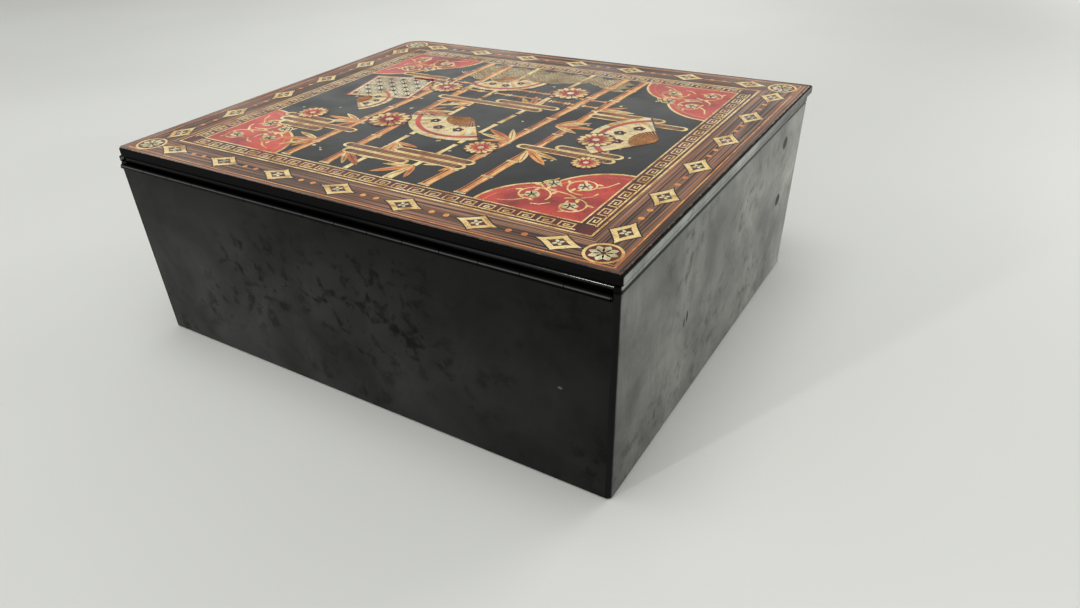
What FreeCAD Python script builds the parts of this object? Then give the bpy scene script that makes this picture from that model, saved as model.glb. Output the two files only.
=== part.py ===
"""Black japanned papier-mache box with a flat hinged lid that carries a printed picture sheet.

Millimetres. +Z is up and the box stands on z = 0. +X is the long side, and the front is at -Y.
The origin is under the middle of the whole object. The rear edge carries a continuous hinge, whose
barrel lies in the recess between the lid and the rear wall. Two rigid groups come out of it: the box
with the pin, and the lid.
"""
import FreeCAD
import Part
import os
from FreeCAD import Vector

# Box, outside faces and board thicknesses
box_width = 240.0
box_depth = 203.5
wall_height = 85.05
wall_thickness = 7.5
tongue_thickness = 2.2
bottom_thickness = 4.0
bottom_recess = 1.0
bottom_rebate = 3.0
wall_corner_radius = 2.0
wall_foot_chamfer = 0.6
wall_rim_chamfer = 0.35

# Lid, a board on four rails
lid_side_overhang = 0.4
lid_front_overhang = 5.7
lid_rear_setback = 0.5
lid_board_thickness = 3.6
lid_corner_radii = (2.0, 10.0, 4.0, 1.3)  # front left, front right, rear right, rear left
lid_top_arris_radius = 0.6
lid_under_arris_chamfer = 0.7
rail_height = 2.1
rail_width = 7.5
rear_rail_setback = 1.1
rear_rail_nose_radius = 1.3
seam_gap = 0.3

# Papers
print_thickness = 0.25
print_margin = 1.3
print_rear_margin = 0.15
print_least_radius = 0.5
lining_thickness = 0.5
floor_lining_thickness = 0.6
lining_drop = 1.5

# Continuous hinge
hinge_pin_radius = 0.5
pin_clearance = 0.07
barrel_radius = 1.15
barrel_clearance = 0.25
barrel_stand_off = 0.4
leaf_thickness = 0.6
leaf_gap = 0.3
leaf_width = 7.0
leaf_end_gap = 0.3
knuckle_count = 15
knuckle_gap = 0.25
nail_count = 5
nail_shank_side = 0.8
nail_head_radius = 1.0
nail_length = 5.0
nail_end_margin = 12.0

# Places that follow from the sizes above
half_width = box_width / 2
rear_reach = barrel_stand_off + barrel_radius
whole_depth = lid_front_overhang + box_depth + rear_reach
rear_face = whole_depth / 2 - rear_reach
front_face = rear_face - box_depth
inner_half_width = half_width - wall_thickness
inner_front = front_face + wall_thickness
inner_rear = rear_face - wall_thickness
bottom_top = bottom_recess + bottom_thickness

rail_bottom = wall_height + seam_gap
board_bottom = rail_bottom + rail_height
board_top = board_bottom + lid_board_thickness
lid_half_width = half_width + lid_side_overhang
lid_front = front_face - lid_front_overhang
lid_rear = rear_face - lid_rear_setback

leaf_stack = leaf_gap / 2 + leaf_thickness
axis_y = rear_face + barrel_stand_off
axis_z = wall_height + seam_gap / 2 - leaf_stack - leaf_gap / 2 - leaf_thickness
rear_wall_top = axis_z - leaf_stack
rear_rail_bottom = axis_z + leaf_stack
hinge_half_length = half_width - tongue_thickness - leaf_end_gap
knuckle_pitch = 2 * hinge_half_length / knuckle_count


def block(x0, x1, y0, y1, z0, z1):
    """A plain block between two corners."""
    return Part.makeBox(x1 - x0, y1 - y0, z1 - z0, Vector(x0, y0, z0))


def rod(radius, x0, x1, y, z):
    """A cylinder along X."""
    return Part.makeCylinder(radius, x1 - x0, Vector(x0, y, z), Vector(1, 0, 0))


def plate(half, y0, y1, z0, z1, radii):
    """A flat board centred on X, with the radii of its corners from front left round to rear left."""
    corners = [(-half, y0, 1, 1), (half, y0, -1, 1), (half, y1, -1, -1), (-half, y1, 1, -1)]
    edges = []
    ends = []
    for number, (x, y, into_x, into_y) in enumerate(corners):
        radius = radii[number]
        along_x = Vector(x + into_x * radius, y, z0)
        along_y = Vector(x, y + into_y * radius, z0)
        bend = radius * (1 - 2 ** -0.5)
        middle = Vector(x + into_x * bend, y + into_y * bend, z0)
        first, last = (along_y, along_x) if number % 2 == 0 else (along_x, along_y)
        edges.append(Part.Arc(first, middle, last).toShape())
        ends.append((first, last))
    for number in range(4):
        edges.append(Part.makeLine(ends[number][1], ends[(number + 1) % 4][0]))
    wire = Part.Wire(Part.__sortEdges__(edges))
    return Part.Face(wire).extrude(Vector(0, 0, z1 - z0))


def edges_at(shape, test):
    """The edges of a solid whose every sampled point passes the test."""
    chosen = []
    for edge in shape.Edges:
        first, last = edge.ParameterRange
        points = [edge.valueAt(first + (last - first) * share) for share in (0.1, 0.5, 0.9)]
        if all(test(point) for point in points):
            chosen.append(edge)
    return chosen


def near(value, target):
    """True where two places are the same."""
    return abs(value - target) < 1e-4


def rounded(shape, radius, test):
    """The solid with a fillet on the edges that pass the test."""
    return shape.makeFillet(radius, edges_at(shape, test))


def eased(shape, size, test):
    """The solid with a small chamfer on the edges that pass the test."""
    return shape.makeChamfer(size, edges_at(shape, test))


def mirrored(shape):
    """The same piece on the other side of the box."""
    return shape.mirror(Vector(0, 0, 0), Vector(1, 0, 0))


def bottom_seat(low):
    """The rebate that the bottom panel fills, from a given height up to the panel's top."""
    half = inner_half_width + bottom_rebate
    return block(-half, half, inner_front - bottom_rebate, inner_rear + bottom_rebate, low, bottom_top)


def side_wall():
    """The right wall: full depth, rebated at both ends for the front and rear walls."""
    wall = block(inner_half_width, half_width, front_face, rear_face, 0, wall_height)
    tongue_face = half_width - tongue_thickness
    for low, high in ((front_face, inner_front), (inner_rear, rear_face)):
        wall = wall.cut(block(inner_half_width, tongue_face, low, high, 0, wall_height))
    wall = wall.cut(bottom_seat(0))
    wall = rounded(
        wall,
        wall_corner_radius,
        lambda p: near(p.x, half_width) and (near(p.y, front_face) or near(p.y, rear_face)),
    )
    wall = eased(wall, wall_foot_chamfer, lambda p: near(p.z, 0) and near(p.x, half_width))
    return eased(wall, wall_rim_chamfer, lambda p: near(p.z, wall_height) and near(p.x, half_width))


def end_wall(y0, y1, outer, top):
    """A wall that sits in the rebates of the side walls."""
    half = half_width - tongue_thickness
    wall = block(-half, half, y0, y1, 0, top).cut(bottom_seat(0))
    return eased(wall, wall_foot_chamfer, lambda p: near(p.z, 0) and near(p.y, outer))


def front_wall():
    """The front wall, as high as the sides."""
    wall = end_wall(front_face, inner_front, front_face, wall_height)
    return eased(wall, wall_rim_chamfer, lambda p: near(p.z, wall_height) and near(p.y, front_face))


def rear_wall():
    """The rear wall, lower by the folded hinge, with a cove in its edge for the barrel."""
    wall = end_wall(inner_rear, rear_face, rear_face, rear_wall_top)
    cove = rod(barrel_radius + barrel_clearance, -half_width, half_width, axis_y, axis_z)
    wall = wall.cut(cove)
    for x in nail_places():
        wall = wall.cut(nail(x, -1))
    return wall


def bottom_panel():
    """The bottom, let into the walls from below and set up a little from the table."""
    return bottom_seat(bottom_recess)


def floor_lining():
    """The paper on the inside of the bottom."""
    return block(
        -inner_half_width,
        inner_half_width,
        inner_front,
        inner_rear,
        bottom_top,
        bottom_top + floor_lining_thickness,
    )


def side_lining():
    """The paper inside the right wall."""
    low = bottom_top + floor_lining_thickness
    high = wall_height - lining_drop
    return block(inner_half_width - lining_thickness, inner_half_width, inner_front, inner_rear, low, high)


def end_lining(y0, y1, top):
    """The paper inside the front or the rear wall, between those on the sides."""
    half = inner_half_width - lining_thickness
    return block(-half, half, y0, y1, bottom_top + floor_lining_thickness, top - lining_drop)


def lid_board():
    """The lid's board, with a soft arris all round the top and a smaller one below."""
    board = plate(lid_half_width, lid_front, lid_rear, board_bottom, board_top, lid_corner_radii)
    board = rounded(board, lid_top_arris_radius, lambda p: near(p.z, board_top))
    board = eased(board, lid_under_arris_chamfer, lambda p: near(p.z, board_bottom))
    for x in nail_places():
        board = board.cut(nail(x, 1))
    return board


def lid_print():
    """The printed picture sheet on top of the board, trimmed close along the rear edge."""
    inset = lid_top_arris_radius + print_margin
    return plate(
        lid_half_width - inset,
        lid_front + inset,
        lid_rear - lid_top_arris_radius - print_rear_margin,
        board_top,
        board_top + print_thickness,
        [max(radius - inset, print_least_radius) for radius in lid_corner_radii],
    )


def side_rail():
    """The right rail under the lid's board, flush with the wall below and rebated for the rear rail."""
    inner = half_width - rail_width
    rail = block(inner, half_width, front_face, rear_face, rail_bottom, board_bottom)
    tongue_face = half_width - tongue_thickness
    rail = rail.cut(block(inner, tongue_face, inner_rear + seam_gap, rear_face, rail_bottom, board_bottom))
    rail = rounded(
        rail,
        wall_corner_radius,
        lambda p: near(p.x, half_width) and (near(p.y, front_face) or near(p.y, rear_face)),
    )
    return eased(rail, wall_rim_chamfer, lambda p: near(p.z, rail_bottom) and near(p.x, half_width))


def front_rail():
    """The front rail, between the side rails."""
    half = half_width - rail_width
    rail = block(-half, half, front_face, front_face + rail_width, rail_bottom, board_bottom)
    return eased(rail, wall_rim_chamfer, lambda p: near(p.z, rail_bottom) and near(p.y, front_face))


def rear_rail():
    """The rear rail, set in a little behind the lid's edge, rounded outside and carrying the hinge."""
    inner = inner_rear + seam_gap
    outer = rear_face - rear_rail_setback
    rail = block(-hinge_half_length, hinge_half_length, inner, outer, rear_rail_bottom, board_bottom)
    corner_heights = (rear_rail_bottom, board_bottom)
    rail = rounded(
        rail,
        rear_rail_nose_radius,
        lambda p: near(p.y, outer) and any(near(p.z, height) for height in corner_heights),
    )
    for x in nail_places():
        rail = rail.cut(nail(x, 1))
    return rail


def lid_lining():
    """The paper under the lid's board, between the rails."""
    half = half_width - rail_width
    return block(
        -half,
        half,
        front_face + rail_width,
        inner_rear + seam_gap,
        board_bottom - lining_thickness,
        board_bottom,
    )


def nail_places():
    """The places along X of the nails in one hinge leaf."""
    reach = hinge_half_length - nail_end_margin
    return [-reach + 2 * reach * number / (nail_count - 1) for number in range(nail_count)]


def nail(x, way):
    """A cut nail with a countersunk head in a hinge leaf: way is 1 up into the lid, -1 down into the wall."""
    y = rear_face - (leaf_width + rear_rail_setback) / 2
    z = axis_z + way * leaf_gap / 2
    half = nail_shank_side / 2
    low, high = sorted((z, z + way * nail_length))
    head = Part.makeCone(nail_head_radius, half, leaf_thickness, Vector(x, y, z), Vector(0, 0, way))
    shank = block(x - half, x + half, y - half, y + half, low, high)
    return head.fuse(shank).removeSplitter()


def knuckle_span(number):
    """The two ends along X of one knuckle of the barrel."""
    low = -hinge_half_length + number * knuckle_pitch
    return low + knuckle_gap / 2, low + knuckle_pitch - knuckle_gap / 2


def hinge_leaf(way, parity):
    """One leaf of the continuous hinge, rolled into every other knuckle of the barrel."""
    low, high = sorted((axis_z + way * leaf_gap / 2, axis_z + way * leaf_stack))
    leaf = block(
        -hinge_half_length,
        hinge_half_length,
        rear_face - leaf_width,
        axis_y - barrel_radius - barrel_clearance,
        low,
        high,
    )
    for number in range(parity, knuckle_count, 2):
        x0, x1 = knuckle_span(number)
        tongue = block(x0, x1, axis_y - barrel_radius - 2 * barrel_clearance, axis_y, low, high)
        leaf = leaf.fuse(tongue.fuse(rod(barrel_radius, x0, x1, axis_y, axis_z)))
    leaf = leaf.cut(rod(hinge_pin_radius + pin_clearance, -half_width, half_width, axis_y, axis_z))
    for x in nail_places():
        leaf = leaf.cut(nail(x, way))
    return leaf.removeSplitter()


def hinge_pin():
    """The wire that holds the two leaves together."""
    return rod(hinge_pin_radius, -hinge_half_length, hinge_half_length, axis_y, axis_z)


def nails(way):
    """The row of nails in one leaf, as a group of separate solids."""
    return Part.makeCompound([nail(x, way) for x in nail_places()])


def model():
    """Every piece by the name of its node."""
    right_wall = side_wall()
    right_lining = side_lining()
    right_rail = side_rail()
    return {
        "front_wall": front_wall(),
        "rear_wall": rear_wall(),
        "left_wall": mirrored(right_wall),
        "right_wall": right_wall,
        "bottom_panel": bottom_panel(),
        "floor_lining": floor_lining(),
        "front_lining": end_lining(inner_front, inner_front + lining_thickness, wall_height),
        "rear_lining": end_lining(inner_rear - lining_thickness, inner_rear, rear_wall_top),
        "left_lining": mirrored(right_lining),
        "right_lining": right_lining,
        "hinge_box_leaf": hinge_leaf(-1, 0),
        "hinge_pin": hinge_pin(),
        "box_leaf_nails": nails(-1),
        "lid_board": lid_board(),
        "lid_print": lid_print(),
        "lid_front_rail": front_rail(),
        "lid_rear_rail": rear_rail(),
        "lid_left_rail": mirrored(right_rail),
        "lid_right_rail": right_rail,
        "lid_lining": lid_lining(),
        "hinge_lid_leaf": hinge_leaf(1, 1),
        "lid_leaf_nails": nails(1),
    }


os.makedirs("parts", exist_ok=True)
for node, shape in model().items():
    shape.exportStep(f"parts/{node}.step")
    box = shape.BoundBox
    print(f"{node}: {len(shape.Solids)} solids, {shape.Volume:.1f} mm3, valid {shape.isValid()},", end=" ")
    print(f"x {box.XMin:.2f} {box.XMax:.2f} y {box.YMin:.2f} {box.YMax:.2f} z {box.ZMin:.2f} {box.ZMax:.2f}")
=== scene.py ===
# %% [markdown]
# This script dresses a black lacquered papier-mache box with a hinged lid. The shapes come from a CAD model
# that is loaded first and never moved, so each step here adds what the CAD can't carry: the lacquer and its
# wear, the printed picture sheet on the lid, the lining papers and the light that shows them.

# %% Load the CAD frame
import math
import random

import bmesh
import bpy
from mathutils import Matrix, Vector


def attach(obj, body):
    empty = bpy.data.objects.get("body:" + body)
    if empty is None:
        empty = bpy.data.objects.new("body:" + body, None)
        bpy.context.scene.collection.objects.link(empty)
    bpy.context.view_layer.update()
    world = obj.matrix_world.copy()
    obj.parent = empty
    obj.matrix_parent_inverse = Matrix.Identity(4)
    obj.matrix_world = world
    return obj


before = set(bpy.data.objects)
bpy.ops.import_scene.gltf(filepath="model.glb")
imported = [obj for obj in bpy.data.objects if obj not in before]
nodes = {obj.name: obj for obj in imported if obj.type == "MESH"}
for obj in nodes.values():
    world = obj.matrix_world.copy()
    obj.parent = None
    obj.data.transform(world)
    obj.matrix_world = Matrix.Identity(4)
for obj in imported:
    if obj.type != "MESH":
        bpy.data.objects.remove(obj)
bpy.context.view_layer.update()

MM = 0.001

# %% [markdown]
# A material in Blender is a small graph of nodes. One helper adds a node, sets its properties and fills or
# links its inputs, which keeps every later graph readable. Colours are written as the sRGB hex values that a
# painter would pick from a screen, and the shader needs them linear, so one function converts them.

# %% Colour and node helpers
def linear(hex_colour):
    channels = [int(hex_colour[i:i + 2], 16) / 255 for i in (1, 3, 5)]
    curve = [c / 12.92 if c <= 0.04045 else ((c + 0.055) / 1.055) ** 2.4 for c in channels]
    return (*curve, 1.0)


def put(tree, kind, inputs=None, stops=None, **settings):
    """Adds one node. inputs gives each socket, by name or number, a value or the socket or node it is linked
    from. A node stands for the first of its outputs that is in use. stops are a ramp's places and colours."""
    node = tree.nodes.new(kind)
    for name, value in settings.items():
        setattr(node, name, value)
    for key, value in (inputs or {}).items():
        if isinstance(value, bpy.types.Node):
            value = next(socket for socket in value.outputs if socket.enabled)
        if isinstance(value, bpy.types.NodeSocket):
            tree.links.new(value, node.inputs[key])
        else:
            node.inputs[key].default_value = value
    for i, (place, colour) in enumerate(stops or []):
        stop = node.color_ramp.elements[i] if i < 2 else node.color_ramp.elements.new(place)
        stop.position = place
        stop.color = linear(colour)
    return node


# %% Start and end of a material
def new_material(name):
    """An empty material, its graph and the Object coordinates that its patterns read."""
    material = bpy.data.materials.new(name)
    material.use_nodes = True
    tree = material.node_tree
    tree.nodes.clear()
    return material, tree, put(tree, "ShaderNodeTexCoord").outputs["Object"]


def close_material(tree, colour, rough, normal, **more):
    inputs = {"Base Color": colour, "Roughness": rough, "Normal": normal, **more}
    skin = put(tree, "ShaderNodeBsdfPrincipled", inputs)
    put(tree, "ShaderNodeOutputMaterial", {"Surface": skin})


def dress(names, material):
    """Gives CAD nodes a material and leaves their meshes alone."""
    for name in names:
        slots = nodes[name].data.materials
        slots.clear()
        slots.append(material)
    print(material.name, "on", ", ".join(names))


# %% [markdown]
# The camera stands where the photographer's did: behind the hinge, a little above the lid and close, which is
# why the near corner looms. Its place, aim and roll were worked out from the straight edges of the box in the
# picture. The frame was cropped a little off centre, and two small shift values repeat that.

# %% Camera
CAMERA_PLACE = Vector((-0.19841, 0.27931, 0.19983))
CAMERA_AIM = Vector((-0.07645, 0.09845, 0.045))
CAMERA_ROLL = math.radians(-2.92)
camera_data = bpy.data.cameras.new("photo_camera")
camera = bpy.data.objects.new("photo_camera", camera_data)
bpy.context.scene.collection.objects.link(camera)
forward = (CAMERA_AIM - CAMERA_PLACE).normalized()
level_right = forward.cross(Vector((0, 0, 1))).normalized()
level_up = level_right.cross(forward)
right = level_right * math.cos(CAMERA_ROLL) + level_up * math.sin(CAMERA_ROLL)
up = level_up * math.cos(CAMERA_ROLL) - level_right * math.sin(CAMERA_ROLL)
camera.matrix_world = Matrix.Translation(CAMERA_PLACE) @ Matrix((right, up, -forward)).transposed().to_4x4()
camera_data.sensor_fit = "HORIZONTAL"
camera_data.sensor_width = 36
camera_data.lens = 25.23
camera_data.shift_x = 0.0280
camera_data.shift_y = 0.0488
camera_data.clip_start = 0.01
bpy.context.scene.camera = camera
print("camera looks down", round(math.degrees(math.asin(-forward.z)), 1), "degrees")

# %% [markdown]
# The box stands on a pale seamless sheet of matt card. Its tooth is finer than the picture can show, so it
# only takes the shine off. Two broad soft pools, a paler one behind the box and a greyer one to the right of
# it, stand in for the uneven fall of the light in the room, which a few lamps would give less simply.

# %% Floor
CARD_REACH = 15
CORNERS = ((-1, -1), (1, -1), (1, 1), (-1, 1))
CARD_POOLS = [((0.38, -0.62, 0), 0.62, 0.17), ((-0.32, -0.8, 0), 0.6, -0.24)]  # middle, reach and gain
card, tree, where = new_material("matt_white_card")
cloudy = put(tree, "ShaderNodeTexNoise", {"Vector": where, "Scale": 3.0, "Detail": 2.0})
tint = put(tree, "ShaderNodeValToRGB", {"Fac": cloudy}, [(0.3, "#dbdad8"), (0.7, "#e1e0de")])
shade = 1.0
for centre, reach, gain in CARD_POOLS:
    off = put(tree, "ShaderNodeVectorMath", {0: where, 1: centre}, operation="DISTANCE")
    share = put(tree, "ShaderNodeMapRange", {
        "Value": off, "From Max": reach, "To Min": gain, "To Max": 0.0},
        interpolation_type="SMOOTHSTEP")
    shade = put(tree, "ShaderNodeMath", {0: share, 1: shade}, operation="ADD")
shaded = put(tree, "ShaderNodeVectorMath", {0: tint, "Scale": shade}, operation="SCALE")
tooth = put(tree, "ShaderNodeTexNoise", {"Vector": where, "Scale": 900.0, "Detail": 3.0})
relief = put(tree, "ShaderNodeBump", {"Height": tooth, "Strength": 0.15, "Distance": 0.2 * MM})
close_material(tree, shaded, 0.75, relief, IOR=1.45)

card_mesh = bpy.data.meshes.new("floor")
card_corners = [(x * CARD_REACH, y * CARD_REACH, 0) for x, y in CORNERS]
card_mesh.from_pydata(card_corners, [], [(0, 1, 2, 3)])
card_mesh.materials.append(card)
floor = bpy.data.objects.new("floor", card_mesh)
bpy.context.scene.collection.objects.link(floor)
print("floor", 2 * CARD_REACH, "metres wide")

# %% [markdown]
# The room is a soft glow from all sides. It is paler near the horizon than overhead, and glossy lacquer seen
# at a low angle mirrors that, which turns the far end of the lid grey. It is brighter behind the camera as
# well. A wide panel overhead fills in, and a long low one behind the box and to the right of the picture
# stands in for a window: it rakes the side wall and leaves the wall that faces the camera dark. A small lamp
# near the camera glints on the two rounded parts of the back, the nose of the lid's rail and the hinge.

# %% Room light
world = bpy.data.worlds.new("room")
bpy.context.scene.world = world
world.use_nodes = True
tree = world.node_tree
tree.nodes.clear()
way = put(tree, "ShaderNodeTexCoord").outputs["Generated"]
apart = put(tree, "ShaderNodeSeparateXYZ", {0: way})
glow = put(tree, "ShaderNodeValToRGB", {"Fac": apart.outputs["Z"]}, [
    (0.24, "#f4f6f3"), (0.5, "#969896"), (1.0, "#868887")])
behind = put(tree, "ShaderNodeMapRange", {
    "Value": apart.outputs["Y"], "From Min": -0.2, "From Max": 0.7, "To Min": 1.1, "To Max": 2.1})
air = put(tree, "ShaderNodeBackground", {"Color": glow, "Strength": behind})
put(tree, "ShaderNodeOutputWorld", {"Surface": air})


# %% Light panels
def soft_panel(name, place, target, size, watts, colour):
    data = bpy.data.lights.new(name, "AREA")
    data.shape = "RECTANGLE"
    data.size, data.size_y = size
    data.energy = watts
    data.color = linear(colour)[:3]
    panel = bpy.data.objects.new(name, data)
    bpy.context.scene.collection.objects.link(panel)
    panel.location = place
    panel.rotation_euler = (Vector(target) - Vector(place)).to_track_quat("-Z", "Y").to_euler()


HINGE_NEAR_END = (-0.1115, 0.1026, 0.0866)
soft_panel("ceiling_panel", (0.05, 0.1, 1.35), (0, 0, 0), (0.8, 0.8), 7.0, "#fdfffb")
soft_panel("low_panel", (-0.95, -2.5, 0.36), (0, 0, 0.05), (1.3, 0.5), 48.0, "#fffefa")
soft_panel("hinge_glint", (0.386, 1.24, 0.474), HINGE_NEAR_END, (0.05, 0.14), 3.5, "#fffefc")
bpy.context.scene.view_settings.view_transform = "Standard"
bpy.context.scene.view_settings.gamma = 0.88

# %% [markdown]
# Japanned papier-mache is paper pulp pressed in a mould, filled, and stoved under several coats of black
# varnish. The eye reads it by three things: a black with a trace of brown, a gloss that is broken up by years
# of handling, and a surface that is never quite flat because the paper moved as it dried. All three come from
# noise on Object coordinates, whose unit is the metre, so a scale of 1/(38 mm) gives patches of that size.

# %% Patterns of a real size
def patches(tree, where, size_mm, low, high, start=0.0, end=1.0, **noise):
    """Soft patches. Noise keeps near 0.5, so its stretch from low to high is spread from start to end."""
    cloud = put(tree, "ShaderNodeTexNoise", {"Vector": where, "Scale": 1 / (size_mm * MM), **noise})
    return put(tree, "ShaderNodeMapRange", {
        "Value": cloud, "From Min": low, "From Max": high, "To Min": start, "To Max": end})


def drawn_out(tree, where, lengths_mm, **noise):
    """Noise with a length of its own along each axis, as marks of drawing, wiping or growth have."""
    stretch = put(tree, "ShaderNodeMapping", {"Vector": where, "Scale": [1 / (n * MM) for n in lengths_mm]})
    return put(tree, "ShaderNodeTexNoise", {"Vector": stretch, "Scale": 1.0, **noise})


def uneven(tree, where, layers):
    """Relief in layers of noise, each with its size, detail, strength and height. Sizes are in millimetres."""
    below = {}
    for size_mm, detail, strength, high_mm in layers:
        bumps = put(tree, "ShaderNodeTexNoise", {
            "Vector": where, "Scale": 1 / (size_mm * MM), "Detail": detail})
        normal = put(tree, "ShaderNodeBump", {
            "Height": bumps, "Strength": strength, "Distance": high_mm * MM, **below})
        below = {"Normal": normal}
    return normal


# %% [markdown]
# Wear isn't the same all over. These helpers say where it lies: along an axis, on faces that look one way, or
# in one nick.

# %% Where the wear lies
def fade(tree, where, axis, start, end, share_start, share_end):
    """A value that runs from one share to another between two places on an axis, in millimetres."""
    place = put(tree, "ShaderNodeSeparateXYZ", {0: where}).outputs[axis]
    return put(tree, "ShaderNodeMapRange", {
        "Value": place, "From Min": start * MM, "From Max": end * MM,
        "To Min": share_start, "To Max": share_end})


def facing(tree, axis):
    """How far a face looks along an axis, from -1 to 1."""
    return put(tree, "ShaderNodeSeparateXYZ", {
        0: put(tree, "ShaderNodeNewGeometry").outputs["Normal"]}).outputs[axis]


def ellipse_mask(tree, where, centre_mm, half_mm):
    """1 inside a small ellipsoid about a point of the surface, fading to 0 at its rim: one nick or chip."""
    scale = [1 / (h * MM) for h in half_mm]
    shift = [-c / h for c, h in zip(centre_mm, half_mm)]
    local = put(tree, "ShaderNodeMapping", {"Vector": where, "Location": shift, "Scale": scale})
    reach = put(tree, "ShaderNodeVectorMath", {0: local}, operation="LENGTH")
    return put(tree, "ShaderNodeMapRange", {"Value": reach, "From Min": 1.0, "From Max": 0.75})


# %% [markdown]
# Rubbed lacquer carries a thin grey film. It lies in soft patches about 38 mm across, because a cloth and a
# hand take off some and leave some, and it is missing in crowds of 6 mm freckles where damp has sat. The same
# film makes the gloss duller, so one mask drives both the colour and the roughness.

# %% Film on rubbed lacquer
def rubbed_film(tree, where, specks, streak):
    """Two masks: the film with its patches and streaks, and what the freckles leave of it."""
    spread = patches(tree, where, 38, 0.34, 0.66, Detail=5.0, Roughness=0.62, Distortion=0.4)
    dots = patches(tree, where, 6, 0.52, 0.68, Detail=3.0, Roughness=0.6, Distortion=0.3)
    gather = patches(tree, where, 60, 0.42, 0.62, 0.0, specks, Detail=2.0, Roughness=0.5)
    bare = put(tree, "ShaderNodeMath", {0: dots, 1: gather}, operation="MULTIPLY")
    kept = put(tree, "ShaderNodeMath", {0: 1.0, 1: bare}, operation="SUBTRACT")
    film = put(tree, "ShaderNodeMath", {0: spread, 1: kept}, operation="MULTIPLY")
    if streak:
        wiped = drawn_out(tree, where, (1.1, 1.1, 14), Detail=3.0)
        lines = put(tree, "ShaderNodeMapRange", {
            "Value": wiped, "From Min": 0.4, "From Max": 0.6, "To Min": 1 - streak})
        film = put(tree, "ShaderNodeMath", {0: film, 1: lines}, operation="MULTIPLY")
    return film, kept


# %% Lacquer
PLAIN_ROUGH = 0.65
FILM_BASE = 0.35


def lacquer(name, ground, haze, gloss, dull, bloom, streak=0.0, specks=0.5, nicks=(), sides_only=False,
            ior=1.5, fades=(), ripple=(26, 0.12), shine=None):
    """Black varnish over paper pulp. haze is the colour of the rubbed film, bloom how much of it shows.
    A fade is an axis, its two ends in millimetres and the share of the bloom at each. ripple is the length
    and the height in millimetres of the waves in the board. shine is a fade too, of the gloss itself."""
    material, tree, where = new_material(name)
    film, kept = rubbed_film(tree, where, specks, streak)
    amount = put(tree, "ShaderNodeMath", {
        0: film, 1: bloom * (1 - FILM_BASE), 2: bloom * FILM_BASE}, operation="MULTIPLY_ADD")
    amount = put(tree, "ShaderNodeMath", {0: amount, 1: kept}, operation="MULTIPLY")
    for a_fade in fades:
        share = fade(tree, where, *a_fade)
        amount = put(tree, "ShaderNodeMath", {0: amount, 1: share}, operation="MULTIPLY", use_clamp=True)
    rough = put(tree, "ShaderNodeMapRange", {"Value": film, "To Min": gloss, "To Max": dull})
    # Keeping the film only on faces that look along X paints light on the faces that the low panel rakes, and
    # the faces that look other ways stay black as painted shade.
    if sides_only:
        flat = put(tree, "ShaderNodeMath", {0: facing(tree, "X")}, operation="ABSOLUTE")
        side = put(tree, "ShaderNodeMapRange", {"Value": flat, "From Min": 0.86, "From Max": 0.97})
        amount = put(tree, "ShaderNodeMath", {0: amount, 1: side}, operation="MULTIPLY")
        rough = put(tree, "ShaderNodeMix", {"Factor": side, "A": PLAIN_ROUGH, "B": rough})
    colour = put(tree, "ShaderNodeMix", {"Factor": amount, "A": linear(ground), "B": linear(haze)},
                 data_type="RGBA")
    normal = uneven(tree, where, [(ripple[0], 2.0, 1.0, ripple[1]), (0.8, 3.0, 0.5, 0.02)])
    for centre, half, hue in nicks:
        inside = ellipse_mask(tree, where, centre, half)
        colour = put(tree, "ShaderNodeMix", {"Factor": inside, "A": colour, "B": linear(hue)},
                     data_type="RGBA")
        normal = put(tree, "ShaderNodeBump", {
            "Height": inside, "Strength": 0.8, "Distance": 0.25 * MM, "Normal": normal},
            invert=True)
    gleam = fade(tree, where, *shine) if shine else 0.5
    close_material(tree, colour, rough, normal, **{"IOR": ior, "Specular IOR Level": gleam})
    return material


# %% [markdown]
# All parts take one kind of black lacquer, and on each its rubbed film carries wear and also painted light and
# shade. The rear wall faces away from the low panel, so its film is painted dark as shade, and darker still
# towards the near corner and up under the lid. The side walls are rubbed grey and carry a few knocks; their
# film is painted lighter towards the far end, where the low panel rakes, and is a little darker towards the
# bottom.
# It lies only on faces that look along X, which the low panel rakes, so chamfers and the grooves between
# boards stay black as painted shade. The lid's edges were handled most, and on them too the film lies only on
# faces that look along X as painted light; it is painted darker towards the far, front end as shade and is
# left off the foot of the rails as painted shade along the seam. The rear rail's round nose keeps its full
# gloss at the end nearest the camera and less further on.

# %% Lacquer of each part
back_nicks = [  # middle, half sizes and colour of each
    ((-99.7, 103.8, 43.5), (1.0, 1.0, 0.6), "#5a5953"),
    ((-62.0, 103.8, 20.0), (0.7, 1.0, 0.9), "#1d1c1a")]
side_nicks = [
    ((-120, -69, 74.7), (1.5, 3.6, 3.2), "#020202"),
    ((-120, -73, 45.5), (1.5, 3.6, 3.2), "#020202"),
    ((-120, 41.6, 43.5), (1.5, 0.8, 2.8), "#030303"),
    ((-120, 44.4, 42.0), (1.5, 0.6, 2.2), "#030303")]
# The rear wall's film is painted dark as shade, and its two fades paint it darker towards the near corner and
# up under the lid.
back_lacquer = lacquer(
    "black_japan_lacquer_wall_with_painted_shade", "#020202", "#4c4d4a", 0.4, 0.55, 0.75, specks=0.9, ior=1.22,
    nicks=back_nicks, fades=[("X", -120, 120, 0.3, 1.0), ("Z", 84, 40, 0.45, 1.0)])
# The side walls' film is rubbed wear and painted light: one fade paints it lighter towards the far end, which
# the low panel rakes, and another makes it a little darker towards the bottom.
side_lacquer = lacquer(
    "black_japan_lacquer_rubbed_wall_with_painted_light", "#030303", "#afb0aa", 0.42, 0.56, 0.77, streak=0.25, specks=0.45,
    ior=1.3, sides_only=True, nicks=side_nicks, fades=[("Y", 100, -100, 0.66, 1.27), ("Z", 0, 60, 0.85, 1.0)])
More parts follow.
